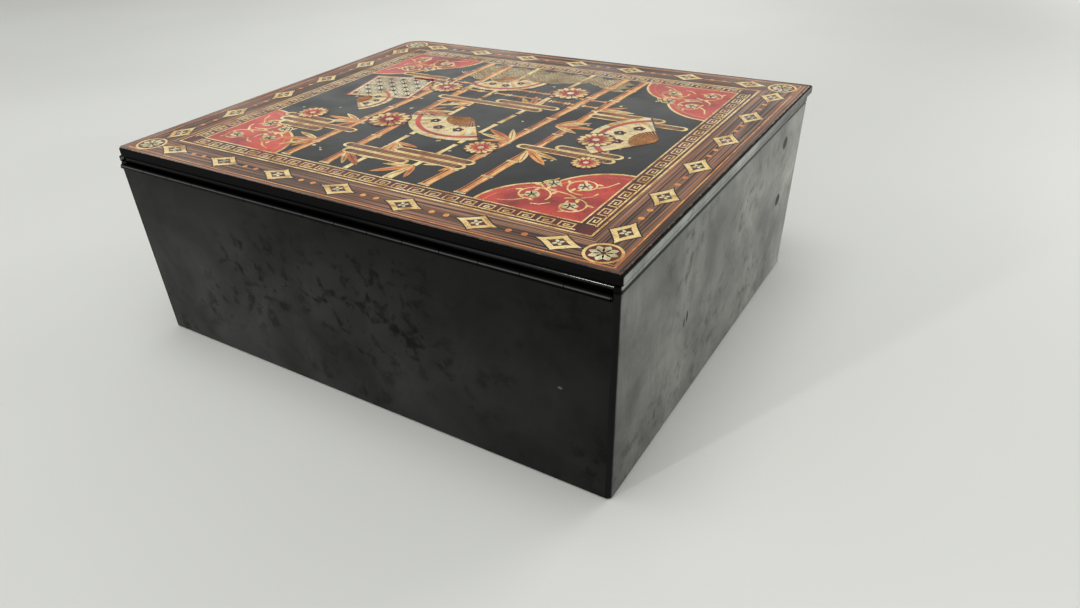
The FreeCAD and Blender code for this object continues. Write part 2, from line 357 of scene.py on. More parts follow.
# The lid's film is rubbed wear and painted light on faces that look along X; one fade paints it darker towards
# the far, front end as shade, and the other leaves the foot of the rails black as painted shade along the
# seam.
lid_lacquer = lacquer(
    "black_japan_lacquer_handled_lid", "#020202", "#c2c5c0", 0.3, 0.42, 0.8, streak=0.25, ior=1.2,
    sides_only=True, fades=[("Y", -20, -104, 1.0, 0.4), ("Z", 85.9, 86.6, 0.0, 1.0)])
nose_lacquer = lacquer(
    "black_japan_lacquer_polished_rail", "#020202", "#20201f", 0.1, 0.16, 0.1, ior=1.4, ripple=(6, 0.06),
    shine=("X", -80, -10, 0.5, 0.1))
dress(["rear_wall", "front_wall", "bottom_panel"], back_lacquer)
dress(["left_wall", "right_wall"], side_lacquer)
dress(["lid_board", "lid_front_rail", "lid_left_rail", "lid_right_rail"], lid_lacquer)
dress(["lid_rear_rail"], nose_lacquer)

# %% [markdown]
# The hinge is brass strip rolled into knuckles, blacked with the box. Its black is whole, and its gloss is
# kept
# only on faces tilted a little upwards: a painted highlight line along the barrel, with painted shade above
# it, under the lid, and below it, in the crevice over the wall. A worn metal is one shader whose metallic
# value
# follows a mask: 0 where the varnish still lies, 1 where bare metal shows. The pin is drawn steel wire, with
# fine rings of drawing marks, bare but for its hollows, and the nail heads are brass, brown where grease has
# settled. Their drawing marks are 0.2 to 0.5 mm apart, coarser than real ones, because finer ones wouldn't
# show.

# %% Hinge, pin and nails
GRIME_ROUGH = 0.22


def worn_metal(name, metal, varnish, wear, smooth, coarse, grain_mm, polished=None, misty=None):
    """Bare metal that shows through an old finish. wear is how much of it is bare, below 0 none. polished is
    the upward tilt of the faces that keep their gloss, as the z of their normal, a painted highlight band;
    faces that tilt more or less lose their gloss as painted shade. misty is a stretch of X in millimetres
    along which the gloss clears, from a breath of grime to none."""
    material, tree, where = new_material(name)
    bare = patches(tree, where, 6, 0.62 - wear * 0.3, 0.68 - wear * 0.3, Detail=6.0, Roughness=0.7)
    marks = drawn_out(tree, where, (6, grain_mm, grain_mm), Detail=3.0)
    warm = put(tree, "ShaderNodeMix", {"Factor": marks, "A": linear(metal[0]), "B": linear(metal[1])},
               data_type="RGBA")
    colour = put(tree, "ShaderNodeMix", {"Factor": bare, "A": linear(varnish), "B": warm}, data_type="RGBA")
    rough = put(tree, "ShaderNodeMapRange", {"Value": marks, "To Min": smooth, "To Max": coarse})
    if misty:
        grime = fade(tree, where, "X", *misty, GRIME_ROUGH, 0.0)
        rough = put(tree, "ShaderNodeMath", {0: rough, 1: grime}, operation="ADD")
    gleam = 0.5
    # The band of gloss is a painted highlight, and the gloss cut away above and below it is painted shade.
    if polished:
        off = put(tree, "ShaderNodeMath", {0: facing(tree, "Z"), 1: polished}, operation="SUBTRACT")
        off = put(tree, "ShaderNodeMath", {0: off}, operation="ABSOLUTE")
        gleam = put(tree, "ShaderNodeMapRange", {
            "Value": off, "From Min": 0.12, "From Max": 0.34, "To Min": 0.55, "To Max": 0.04})
    relief = put(tree, "ShaderNodeBump", {"Height": marks, "Strength": 0.5, "Distance": 0.02 * MM})
    relief = put(tree, "ShaderNodeBump", {
        "Height": bare, "Strength": 0.5, "Distance": 0.03 * MM, "Normal": relief}, invert=True)
    close_material(tree, colour, rough, relief, **{"Metallic": bare, "Specular IOR Level": gleam})
    return material


hinge_brass = worn_metal(
    "japanned_rolled_brass_strip", ("#b08d4e", "#7d6233"), "#030303", -0.6, 0.18, 0.26, 0.5,
    polished=0.45, misty=(-90, 20))
pin_steel = worn_metal("drawn_steel_wire", ("#a9a8a4", "#6f6d68"), "#2a211b", 0.75, 0.3, 0.5, 0.2)
nail_brass = worn_metal("brass_nail_heads_greased", ("#c29a55", "#8a6a36"), "#2b2013", 0.7, 0.25, 0.45, 0.3)
dress(["hinge_box_leaf", "hinge_lid_leaf"], hinge_brass)
dress(["hinge_pin"], pin_steel)
dress(["box_leaf_nails", "lid_leaf_nails"], nail_brass)

# %% [markdown]
# Inside, the box is lined with thin dyed paper, pasted down and now faded and rubbed. Paper has no gloss: its
# look comes from fibres lying in all directions, soft stains where glue came through, and faint scuffs.

# %% Lining paper
red_paper, tree, where = new_material("dyed_red_lining_paper")
stain = put(tree, "ShaderNodeTexNoise", {
    "Vector": where, "Scale": 1 / (45 * MM), "Detail": 6.0, "Roughness": 0.65})
wash = put(tree, "ShaderNodeValToRGB", {"Fac": stain}, [(0.35, "#4a1512"), (0.68, "#6e2a22")])
laid = put(tree, "ShaderNodeMapping", {
    "Vector": where, "Scale": (1 / (3 * MM), 1 / (0.5 * MM), 1 / (0.5 * MM))})
hair = put(tree, "ShaderNodeTexVoronoi", {"Vector": laid, "Scale": 1.0}, feature="DISTANCE_TO_EDGE")
strand = put(tree, "ShaderNodeMapRange", {"Value": hair, "From Max": 0.07, "To Min": 0.45, "To Max": 0.0})
colour = put(tree, "ShaderNodeMix", {"Factor": strand, "A": wash, "B": linear("#8f5a48")}, data_type="RGBA")
normal = uneven(tree, where, [(18, 2.0, 0.6, 0.3), (0.4, 4.0, 0.6, 0.05)])
close_material(tree, colour, 0.86, normal, IOR=1.47)
dress(["floor_lining", "front_lining", "rear_lining", "left_lining", "right_lining", "lid_lining"], red_paper)

# %% [markdown]
# The lid carries a picture sheet: a colour lithograph pasted on the board and varnished over. The varnish has
# yellowed, shrunk into hair-fine cracks and lost its shine in spots, and the rim, where sleeves and cloths
# catch, has chipped. Both lie over every ink alike, so each is a function of its own. The sheet is pasted to
# a board that isn't flat, so its gloss ripples in waves about 22 mm long.

# %% Varnish and chips of the picture sheet
SHEET_HALF = (118.5, 103.025)
SHEET_MID_Y = -0.45
SHEET_TOP = 91.30


def chips(tree, where, gap, low, high, deep_mm):
    """1 where the sheet has chipped away. gap is the distance to its rim."""
    depth = patches(tree, where, 2.6, low, high, 0.0, deep_mm * MM, Detail=5.0, Roughness=0.75)
    return put(tree, "ShaderNodeMath", {0: gap, 1: depth}, operation="LESS_THAN")


def under_varnish(tree, where, colour, grain, strength, deep_mm, gloss, dullest):
    """Ends an ink's graph: the board's waves, the fine grain on them, and a gloss that comes and goes."""
    normal = uneven(tree, where, [(22, 3.0, 1.0, 0.1)])
    normal = put(tree, "ShaderNodeBump", {
        "Height": grain, "Strength": strength, "Distance": deep_mm * MM, "Normal": normal})
    rough = patches(tree, where, 30, 0.35, 0.65, gloss, dullest, Detail=5.0)
    close_material(tree, colour, rough, normal, IOR=1.5)


# %% [markdown]
# Lithograph inks are drawn with crayon on stone, by dots and hatching, so no area is one flat colour. Each
# ink has three tones in soft patches, slanting hatching about a millimetre apart and dark specks. Real
# hatching is finer: it is drawn as coarse as it needs to show. At the rim the black board shows through the
# chips.

# %% Inks
WAVE_PERIOD = 0.314  # the distance between the bands of a wave texture of scale 1


def rim_gap(tree, where):
    """The distance from a point of the sheet to its nearest edge."""
    apart = put(tree, "ShaderNodeSeparateXYZ", {0: where})
    gaps = []
    for axis, half, middle in (("X", SHEET_HALF[0], 0.0), ("Y", SHEET_HALF[1], SHEET_MID_Y)):
        off = put(tree, "ShaderNodeMath", {0: apart.outputs[axis], 1: middle * MM}, operation="SUBTRACT")
        off = put(tree, "ShaderNodeMath", {0: off}, operation="ABSOLUTE")
        gaps.append(put(tree, "ShaderNodeMath", {0: half * MM, 1: off}, operation="SUBTRACT"))
    return put(tree, "ShaderNodeMath", {0: gaps[0], 1: gaps[1]}, operation="MINIMUM")


def ink(name, light, mid, dark, patch_mm, hatch_mm, hatch=0.35):
    """A lithographed colour: three tones in soft patches, crayon dots and hatching over them."""
    material, tree, where = new_material(name)
    cloud = put(tree, "ShaderNodeTexNoise", {
        "Vector": where, "Scale": 1 / (patch_mm * MM), "Detail": 5.0, "Roughness": 0.6,
        "Distortion": 0.6})
    tone = put(tree, "ShaderNodeValToRGB", {"Fac": cloud}, [(0.36, dark), (0.66, light), (0.5, mid)])
    slant = put(tree, "ShaderNodeMapping", {"Vector": where, "Rotation": (0, 0, 0.6)})
    waves = put(tree, "ShaderNodeTexWave", {
        "Vector": slant, "Scale": WAVE_PERIOD / (hatch_mm * MM), "Distortion": 2.5, "Detail": 2.0,
        "Detail Scale": 1.2}).outputs["Fac"]
    lines = put(tree, "ShaderNodeMapRange", {
        "Value": waves, "From Min": 0.1, "From Max": 0.45, "To Min": hatch, "To Max": 0.0})
    specks = patches(tree, where, 0.7, 0.6, 0.68, Detail=2.0)
    half_specks = put(tree, "ShaderNodeMath", {0: specks, 1: 0.5}, operation="MULTIPLY")
    chipped = chips(tree, where, rim_gap(tree, where), 0.42, 0.75, 2.4)
    colour = tone
    for mask, hue in ((lines, dark), (half_specks, "#1a120c"), (chipped, "#120e0a")):
        colour = put(tree, "ShaderNodeMix", {"Factor": mask, "A": colour, "B": linear(hue)}, data_type="RGBA")
    cracks = put(tree, "ShaderNodeTexVoronoi", {
        "Vector": where, "Scale": 1 / (9 * MM), "Randomness": 1.0}, feature="DISTANCE_TO_EDGE")
    crazed = put(tree, "ShaderNodeMapRange", {"Value": cracks, "From Max": 0.02})
    under_varnish(tree, where, colour, crazed, 0.25, 0.01, 0.2, 0.36)
    return material


ivory = ink("lithographed_ivory_gold_ink", "#fbe8b4", "#ebcb8a", "#b98746", 9, 1.1)
orange = ink("lithographed_orange_gold_ink", "#f0b063", "#e08f4c", "#a95828", 12, 1.0)
vermilion = ink("lithographed_vermilion_ink", "#dd5746", "#c4443a", "#8e2c2e", 26, 1.3)
cream = ink("lithographed_cream_ink", "#eee5c2", "#dbd0a8", "#a89b75", 8, 0.9)
maroon = ink("lithographed_maroon_ink", "#7a2b28", "#632422", "#3c1716", 14, 1.2)
umber = ink("lithographed_umber_ink", "#7c4d33", "#5c3726", "#38211a", 16, 0.9)
black = ink("lithographed_black_ink", "#191c1c", "#111414", "#0a0b0b", 30, 1.5, hatch=0.2)
dress(["lid_print"], black)

# %% [markdown]
# The brown border imitates a strip of wood laid with the grain along each side and mitred at the corners. Its
# lines must turn with the strip, so this ink reads the UV map, where u runs along the strip and v across it,
# both in metres. Long thin noise gives the grain, and a second, slower one gives the darker bands of growth.
# Its rim has chipped too, down to the board in some spots and to the bare paper in others.

# %% Wood-grain ink
wood, tree, where = new_material("lithographed_wood_grain_ink")
along = put(tree, "ShaderNodeUVMap", uv_map="grain")
UNSTRETCHED = 1000  # the map is flat, so its third axis keeps the length of one metre
lines = drawn_out(tree, along, (90, 0.75, UNSTRETCHED), Detail=3.0, Distortion=0.3)
growth = drawn_out(tree, along, (120, 6, UNSTRETCHED), Detail=2.0, Distortion=0.5)
hue = put(tree, "ShaderNodeValToRGB", {"Fac": growth}, [
    (0.34, "#684535"), (0.66, "#b5886a"), (0.47, "#94684e"), (0.56, "#a2705a")])
dark = put(tree, "ShaderNodeMapRange", {"Value": lines, "From Min": 0.42, "From Max": 0.56})
wood_tone = put(tree, "ShaderNodeMix", {"Factor": dark, "A": linear("#241710"), "B": hue}, data_type="RGBA")
across = put(tree, "ShaderNodeSeparateXYZ", {0: along}).outputs["Y"]
chipped = chips(tree, where, across, 0.46, 0.72, 1.1)
pick = put(tree, "ShaderNodeTexNoise", {"Vector": where, "Scale": 1 / (4 * MM), "Detail": 1.0})
board_or_paper = put(tree, "ShaderNodeValToRGB", {"Fac": pick}, [(0.55, "#0d0b09"), (0.6, "#7d6748")])
wood_tone = put(tree, "ShaderNodeMix", {"Factor": chipped, "A": wood_tone, "B": board_or_paper},
                data_type="RGBA")
under_varnish(tree, where, wood_tone, lines, 0.3, 0.02, 0.24, 0.42)
print("inks", len([m for m in bpy.data.materials if m.name.startswith("lithographed")]))

# %% [markdown]
# The design itself is cut out of the inks: each colour is a set of flat shapes a few hundredths of a
# millimetre thick, stacked in the order a printer would lay them. Real shapes keep their edges crisp from any
# distance, which an image couldn't, and each level is a hair above the last so that no two ever coincide. The
# design is a common one for such lids: a wood-grain frame with lozenges, a key-fret, cut corners with
# scrolls, and a garden of bamboo, fans, mist and round flowers on black.

# %% Flat shapes
RISE = 0.006
THICK = 0.03


def level(n):
    """The height in millimetres of the n-th ink that is laid on the sheet."""
    return SHEET_TOP + RISE * n


def prism_mesh(name, polygons, top=0.0, deep=THICK):
    """Closed thin prisms from outlines in millimetres, tops at height top."""
    shape = bmesh.new()
    for outline in polygons:
        area = sum(a[0] * b[1] - b[0] * a[1] for a, b in zip(outline, outline[1:] + outline[:1]))
        ring = outline if area > 0 else outline[::-1]
        upper = [shape.verts.new((x * MM, y * MM, top * MM)) for x, y in ring]
        lower = [shape.verts.new((x * MM, y * MM, (top - deep) * MM)) for x, y in ring]
        shape.faces.new(upper)
        shape.faces.new(lower[::-1])
        for i in range(len(ring)):
            j = (i + 1) % len(ring)
            shape.faces.new((upper[j], upper[i], lower[i], lower[j]))
    mesh = bpy.data.meshes.new(name)
    shape.to_mesh(mesh)
    shape.free()
    return mesh


def on_lid(name, mesh, material):
    """Turns a finished mesh into a piece that rides on the lid with the picture sheet's finish."""
    piece = bpy.data.objects.new(name, mesh)
    bpy.context.scene.collection.objects.link(piece)
    mesh.materials.clear()
    mesh.materials.append(material)
    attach(piece, "lid")
    print(name, len(mesh.polygons), "faces")


def inlay(name, polygons, n, material):
    on_lid(name, prism_mesh(name, polygons, level(n)), material)


# %% Points and outlines
def steps(start, end, count):
    """Evenly spaced values from start to end."""
    return [start + (end - start) * i / count for i in range(count + 1)]


def around(radius, angle, centre=(0, 0)):
    return (centre[0] + radius * math.cos(angle), centre[1] + radius * math.sin(angle))


def between(a, b, share):
    return (a[0] + (b[0] - a[0]) * share, a[1] + (b[1] - a[1]) * share)


def round_outline(radius, count=32):
    return [around(radius, a) for a in steps(0, 2 * math.pi, count)[:-1]]


def petal(start, end, width, notch=0.0):
    """A petal from start to end along +x. notch cuts its tip in."""
    half = [(start + (end - start) * t, width / 2 * math.sin(math.pi * min(1.0, t * 0.92 + 0.08)) ** 0.75)
            for t in steps(0, 1, 12)]
    tip = [(end - notch, 0.0)] if notch else []
    return half + tip + [(x, -y) for x, y in reversed(half)]


# %% [markdown]
# The border is four strips of wood-grain ink, mitred like a real frame and rounded where the lid is, with the
# red ground of the key-fret inside them. UVs that run along each strip turn its grain with it, and each
# starts at another place in the grain, as four strips sawn from one board would.

# %% Wood-grain border
BAND = 18.0
FRET = 7.5
BAND_THICK = 0.25
CORNER_RADII = (0.6, 8.4, 2.2, 0.6)
GRAIN_STARTS = {(True, True): 0.5, (True, False): 0.0, (False, True): 0.9, (False, False): 1.4}
half_x, half_y = SHEET_HALF
inner = (half_x - BAND, half_y - BAND)
field = (inner[0] - FRET, inner[1] - FRET)
rim = (half_x + 1.0, half_y - 0.05)  # at the sides the band reaches past the CAD's sheet


def frame_corners(half):
    """The four corners of a rectangle centred on the sheet, front left first and anticlockwise."""
    return [(sx * half[0], SHEET_MID_Y + sy * half[1]) for sx, sy in CORNERS]


def rounded_corner(k, half, radius, first, last):
    """Points on corner k's quarter circle, from the share first to the share last of its 90 degrees."""
    x, y = frame_corners(half)[k]
    middle = (x - math.copysign(radius, x), y - math.copysign(radius, y - SHEET_MID_Y))
    turns = [math.radians(180 + 90 * k + 90 * share) for share in steps(first, last, 6)]
    return [around(radius, a, middle) for a in turns]


def mitred_strips(outside, inside, radii):
    strips = []
    for k in range(4):
        n = (k + 1) % 4
        edge = rounded_corner(k, outside, radii[k], 0.5, 1.0) + rounded_corner(n, outside, radii[n], 0.0, 0.5)
        strips.append(edge + [frame_corners(inside)[n], frame_corners(inside)[k]])
    return strips


band_mesh = prism_mesh("wood_grain_border", mitred_strips(rim, inner, CORNER_RADII), level(1), BAND_THICK)
grain = band_mesh.uv_layers.new(name="grain")
for face in band_mesh.polygons:
    centre = face.center / MM
    sideways = abs(centre.x) / half_x > abs(centre.y - SHEET_MID_Y) / half_y
    grain_start = GRAIN_STARTS[sideways, (centre.x if sideways else centre.y) > 0]
    for corner in face.loop_indices:
        spot = band_mesh.vertices[band_mesh.loops[corner].vertex_index].co
        off = rim[0] * MM - abs(spot.x) if sideways else rim[1] * MM - abs(spot.y - SHEET_MID_Y * MM)
        grain.data[corner].uv = ((spot.y if sideways else spot.x) + grain_start, off)
on_lid("wood_grain_border", band_mesh, wood)
inlay("fret_ground", mitred_strips(inner, field, (0.1,) * 4), 1, maroon)

# %% [markdown]
# Much of the design repeats: lozenges along the band, a key-fret, cane joints, petals, leaves. Four small
# Geometry Nodes trees make all of it. Each runs on a carrier mesh of bare points or edges, and its result
# becomes a plain mesh, so nothing live is left on any piece.

# %% Start and end of a tree
def new_tree(name, sizes):
    """A Geometry Nodes tree with one named input for each entry of sizes, and its group input's sockets."""
    tree = bpy.data.node_groups.new(name, "GeometryNodeTree")
    tree.interface.new_socket("Geometry", in_out="INPUT", socket_type="NodeSocketGeometry")
    for label, kind in sizes.items():
        tree.interface.new_socket(label, in_out="INPUT", socket_type="NodeSocket" + kind)
    tree.interface.new_socket("Geometry", in_out="OUTPUT", socket_type="NodeSocketGeometry")
    return tree, put(tree, "NodeGroupInput").outputs


def close_tree(tree, sizes, geometry):
    real = put(tree, "GeometryNodeRealizeInstances", {"Geometry": geometry})
    flat = put(tree, "GeometryNodeSetShadeSmooth", {"Geometry": real, "Shade Smooth": False})
    inked = put(tree, "GeometryNodeSetMaterial", {"Geometry": flat, "Material": sizes["Ink"]})
    put(tree, "NodeGroupOutput", {"Geometry": inked})
    return tree


def spin_by(tree, angle):
    """A turn about the upright axis."""
    return put(tree, "FunctionNodeEulerToRotation", {0: put(tree, "ShaderNodeCombineXYZ", {"Z": angle})})


def grow(name, carrier, tree, **values):
    """Runs a tree on a carrier mesh and gives back the plain mesh that it makes."""
    thing = bpy.data.objects.new(name, carrier)
    bpy.context.scene.collection.objects.link(thing)
    modifier = thing.modifiers.new(name, "NODES")
    modifier.node_group = tree
    for socket in tree.interface.items_tree:
        if socket.in_out == "INPUT" and socket.name in values:
            modifier[socket.identifier] = values[socket.name]
    deps = bpy.context.evaluated_depsgraph_get()
    mesh = bpy.data.meshes.new_from_object(thing.evaluated_get(deps), depsgraph=deps)
    bpy.data.objects.remove(thing)
    mesh.name = name
    return mesh


# %% [markdown]
# The first tree lays a motif along a path at an even spacing, each copy turned to run with the path, as the
# hooks of a key-fret and the joints of a cane do.

# %% Tree 1: a motif along a path
tree, sizes = new_tree("row_along_path", {"Motif": "Object", "Spacing": "Float", "Ink": "Material"})
route = put(tree, "GeometryNodeMeshToCurve", {"Mesh": sizes["Geometry"]})
halts = put(tree, "GeometryNodeCurveToPoints", {"Curve": route, "Length": sizes["Spacing"]}, mode="LENGTH")
heading = put(tree, "FunctionNodeAlignRotationToVector", {
    "Vector": halts.outputs["Tangent"]}, axis="X", pivot_axis="Z")
motif = put(tree, "GeometryNodeObjectInfo", {"Object": sizes["Motif"]}).outputs["Geometry"]
row = put(tree, "GeometryNodeInstanceOnPoints", {"Points": halts, "Instance": motif, "Rotation": heading})
row_along_path = close_tree(tree, sizes, row)

# %% [markdown]
# The second sweeps a flat section along a path and gives a ribbon of even width, the line that a pen draws. A
# curve's normals are kept upright, or the ribbon would roll over in a bend.

# %% Tree 2: a ribbon along a path
tree, sizes = new_tree("ribbon_along_path", {"Width": "Float", "Deep": "Float", "Ink": "Material"})
route = put(tree, "GeometryNodeMeshToCurve", {"Mesh": sizes["Geometry"]})
level_route = put(tree, "GeometryNodeSetCurveNormal", {"Curve": route}, mode="Z_UP")
section = put(tree, "GeometryNodeCurvePrimitiveQuadrilateral", {
    "Width": sizes["Width"], "Height": sizes["Deep"]})
swept = put(tree, "GeometryNodeCurveToMesh", {
    "Curve": level_route, "Profile Curve": section, "Fill Caps": True})
ribbon_along_path = close_tree(tree, sizes, swept)

# %% [markdown]
# The third sets a motif on given places, each of which carries its own heading and size. A seeded stray turn
# and a little shrinking keep leaves and petals from looking stamped.

# %% Tree 3: a motif on given points
tree, sizes = new_tree("motif_on_points", {
    "Motif": "Object", "Turn": "Float", "Vary": "Float", "Seed": "Int", "Ink": "Material"})
heading = put(tree, "GeometryNodeInputNamedAttribute", {"Name": "heading"})
size = put(tree, "GeometryNodeInputNamedAttribute", {"Name": "size"})
back_turn = put(tree, "ShaderNodeMath", {0: sizes["Turn"], 1: -1.0}, operation="MULTIPLY")
stray = put(tree, "FunctionNodeRandomValue", {2: back_turn, 3: sizes["Turn"], 8: sizes["Seed"]})
angle = put(tree, "ShaderNodeMath", {0: heading, 1: stray})
shrink = put(tree, "FunctionNodeRandomValue", {2: 0.0, 3: sizes["Vary"], 8: sizes["Seed"]})
factor = put(tree, "ShaderNodeMath", {0: 1.0, 1: shrink}, operation="SUBTRACT")
final_size = put(tree, "ShaderNodeMath", {0: size, 1: factor}, operation="MULTIPLY")
flat_scale = put(tree, "ShaderNodeCombineXYZ", {"X": final_size, "Y": final_size, "Z": 1.0})
motif = put(tree, "GeometryNodeObjectInfo", {"Object": sizes["Motif"]}).outputs["Geometry"]
placed = put(tree, "GeometryNodeInstanceOnPoints", {
    "Points": sizes["Geometry"], "Instance": motif, "Rotation": spin_by(tree, angle), "Scale": flat_scale})
motif_on_points = close_tree(tree, sizes, placed)

# %% [markdown]
# The fourth turns one part about a centre, over a full circle for a flower or over an arc for a fan.

# %% Tree 4: parts in a ring
tree, sizes = new_tree("ring_of_parts", {"Part": "Object", "Count": "Int", "Arc": "Float", "Ink": "Material"})
hub = put(tree, "GeometryNodePoints", {"Count": sizes["Count"]})
nth = put(tree, "GeometryNodeInputIndex")
step = put(tree, "ShaderNodeMath", {0: sizes["Arc"], 1: sizes["Count"]}, operation="DIVIDE")
angle = put(tree, "ShaderNodeMath", {0: nth, 1: step}, operation="MULTIPLY")
part = put(tree, "GeometryNodeObjectInfo", {"Object": sizes["Part"]}).outputs["Geometry"]
ring = put(tree, "GeometryNodeInstanceOnPoints", {
    "Points": hub, "Instance": part, "Rotation": spin_by(tree, angle)})
ring_of_parts = close_tree(tree, sizes, ring)
print("trees", [t.name for t in bpy.data.node_groups])

# %% [markdown]
# The trees need carriers and stamps. A carrier of paths is a mesh of edges only, a carrier of places is a
# mesh of loose points with a heading and a size stored on each. A stamp is an object that a tree copies, and
# all of them are deleted when the design is done, because they are tools and not pieces of the box.

# %% Carriers
def path_mesh(lines, z_mm, closed=False):
    mesh = bpy.data.meshes.new("paths")
    spots, edges = [], []
    for line in lines:
        start = len(spots)
        spots += [(x * MM, y * MM, z_mm * MM) for x, y in line]
        edges += [(start + i, start + i + 1) for i in range(len(line) - 1)]
        if closed:
            edges.append((len(spots) - 1, start))
    mesh.from_pydata(spots, edges, [])
    return mesh


def point_mesh(places, z_mm):
    """places are (x, y, heading in degrees, size) in the sheet's millimetres."""
    mesh = bpy.data.meshes.new("places")
    mesh.from_pydata([(p[0] * MM, p[1] * MM, z_mm * MM) for p in places], [], [])
    stored = {"heading": [math.radians(p[2]) for p in places], "size": [p[3] for p in places]}
    for label, values in stored.items():
        mesh.attributes.new(label, "FLOAT", "POINT").data.foreach_set("value", values)
    return mesh


# %% Stamps
stamps = []


def stamp_of(name, mesh):
    tool = bpy.data.objects.new(name, mesh)
    bpy.context.scene.collection.objects.link(tool)
    stamps.append(tool)
    return tool


def cut_stamp(name, outline):
    return stamp_of(name, prism_mesh(name, [outline]))


def wheel(name, outline, count, arc=360.0):
    """A stamp made of one outline, turned about the origin."""
    part = cut_stamp(name + "_part", outline)
    mesh = grow(name, bpy.data.meshes.new("hub"), ring_of_parts,
                Part=part, Count=count, Arc=math.radians(arc), Ink=black)
    return stamp_of(name, mesh)


# %% Pieces that the trees make
def ribbon_mesh(name, lines, top, width, ink_used, closed=False):
    return grow(name, path_mesh(lines, top - THICK / 2, closed), ribbon_along_path,
                Width=width * MM, Deep=THICK * MM, Ink=ink_used)


def ribbons(name, lines, n, width, ink_used, closed=False):
    on_lid(name, ribbon_mesh(name, lines, level(n), width, ink_used, closed), ink_used)


def scatter(name, stamp, places, n, ink_used, turn=0.0, vary=0.0, seed=1):
    mesh = grow(name, point_mesh(places, level(n)), motif_on_points,
                Motif=stamp, Turn=math.radians(turn), Vary=vary, Seed=seed, Ink=ink_used)
    on_lid(name, mesh, ink_used)


def rows(name, stamp, lines, n, spacing, ink_used):
    mesh = grow(name, path_mesh(lines, level(n)), row_along_path,
                Motif=stamp, Spacing=spacing * MM, Ink=ink_used)
    on_lid(name, mesh, ink_used)


def resized(places, size, turn=0):
    return [(x, y, heading + turn, size) for x, y, heading, _ in places]


# %% [markdown]
# The frame comes first. Gold fillets bound the wood band and the key-fret. The fret is one hook with its base
# line, drawn with the same ribbon as the fillets and laid along the four sides of its track, short of the
# corners, where a printer leaves a square.

# %% Fillets and key-fret
FRET_SPACING = 7.8
FRET_END_GAP = 7


def rounded_frame(half, radii):
    return [p for k in range(4) for p in rounded_corner(k, half, radii[k], 0.0, 1.0)]


rim_line = rounded_frame((half_x - 2.6, half_y - 2.6), (0.8, 5.5, 1, 0.8))
ribbons("rim_fillet", [rim_line], 3, 0.6, orange, closed=True)
ribbons("band_fillet", [frame_corners(inner)], 4, 1.2, ivory, closed=True)
ribbons("field_fillet", [frame_corners(field)], 4, 1.0, ivory, closed=True)
hook = [(-3.0, -1.9), (-3.0, 1.9), (2.2, 1.9), (2.2, -0.7), (-1.2, -0.7), (-1.2, 0.5), (0.6, 0.5)]
base = [(-3.9, -1.9), (3.9, -1.9)]
key_stamp = stamp_of("key", ribbon_mesh("key", [hook, base], 0, 0.75, ivory))
track = frame_corners((inner[0] - FRET / 2, inner[1] - FRET / 2))
sides = []
for k in range(4):
    a, b = track[k], track[(k + 1) % 4]
    gap = FRET_END_GAP / math.dist(a, b)
    sides.append([between(a, b, gap), between(b, a, gap)])
rows("key_fret", key_stamp, sides, 2, FRET_SPACING, ivory)

# %% [markdown]
# Lozenge flowers sit along the band with small studs between them, and a roundel covers each mitre, where the
# two grains would meet. A lozenge is a superellipse: a power below 1 pulls an oval's sides in to four points.

# %% Lozenges, studs and roundels of the band
LOZENGE_HALF = (8.2, 5.6)
LOZENGE_POWER = 0.8
LOZENGES = (7, 6)
STUDS_OFF = (12.5, 12)


def evenly(half, count):
    """The middles of equal parts of a side, measured from its centre."""
    return [half * 2 * (i + 0.5) / count - half for i in range(count)]


belt = (half_x - BAND / 2 - 0.6, half_y - BAND / 2 - 0.6)
lozenge = []
for a in steps(0, 2 * math.pi, 40)[:-1]:
    pull = [abs(share) ** LOZENGE_POWER / half for share, half in zip(around(1, a), LOZENGE_HALF)]
    lozenge.append(around(1 / sum(pull), a))
belt_x = evenly(belt[0], LOZENGES[0])
belt_y = evenly(belt[1], LOZENGES[1])
spots = [(x, SHEET_MID_Y + s * belt[1], 0, 1) for x in belt_x for s in (-1, 1)]
spots += [(s * belt[0], SHEET_MID_Y + y, 90, 1) for y in belt_y for s in (-1, 1)]
plaque = cut_stamp("plaque", lozenge)
scatter("lozenge_edges", plaque, resized(spots, 1.12), 4, black)
scatter("lozenge_grounds", plaque, spots, 5, ivory)
scatter("lozenge_hearts", plaque, resized(spots, 0.55), 6, umber)
four = wheel("four_petals", petal(0.5, 3.0, 1.7), 4)
scatter("lozenge_flowers", four, resized(spots, 0.72, 45), 7, cream)
studs = [(x + way * STUDS_OFF[0], SHEET_MID_Y + s * belt[1], 0, 1)
         for x in belt_x for way in (-1, 1) for s in (-1, 1)]
studs += [(s * belt[0], SHEET_MID_Y + y + way * STUDS_OFF[1], 0, 1)
          for y in belt_y for way in (-1, 1) for s in (-1, 1)]
scatter("band_studs", cut_stamp("stud", round_outline(1.15, 14)), studs, 5, orange)
corner_spots = [(x, y, 45, 1) for x, y in frame_corners(belt)]
disc = cut_stamp("disc", round_outline(6.6))
scatter("corner_roundels", disc, corner_spots, 6, ivory)
scatter("corner_hearts", disc, resized(corner_spots, 0.84), 7, maroon)
scatter("corner_flowers", wheel("eight_petals", petal(0.9, 5.0, 2.6), 8), corner_spots, 8, cream)
print("belt", belt, "lozenges", len(spots), "studs", len(studs))

# %% [markdown]
# In each corner of the field a red spandrel is cut with an ogee, like the corners of a carved tray, and
# filled with curling stems. A stem is a spiral: its radius shrinks evenly as it turns, as a brush draws it.

# %% Spandrels and their stems
def ogee(radius):
    return [around(radius * (0.8 + 0.2 * abs(math.cos(2 * a))), a) for a in steps(0, math.pi / 2, 28)]


def spiral(x, y, start, turns, radius, way=1):
    return [around(radius * (1 - 0.86 * t), math.radians(start) + way * 2 * math.pi * turns * t, (x, y))
            for t in steps(0, 1, 25)]


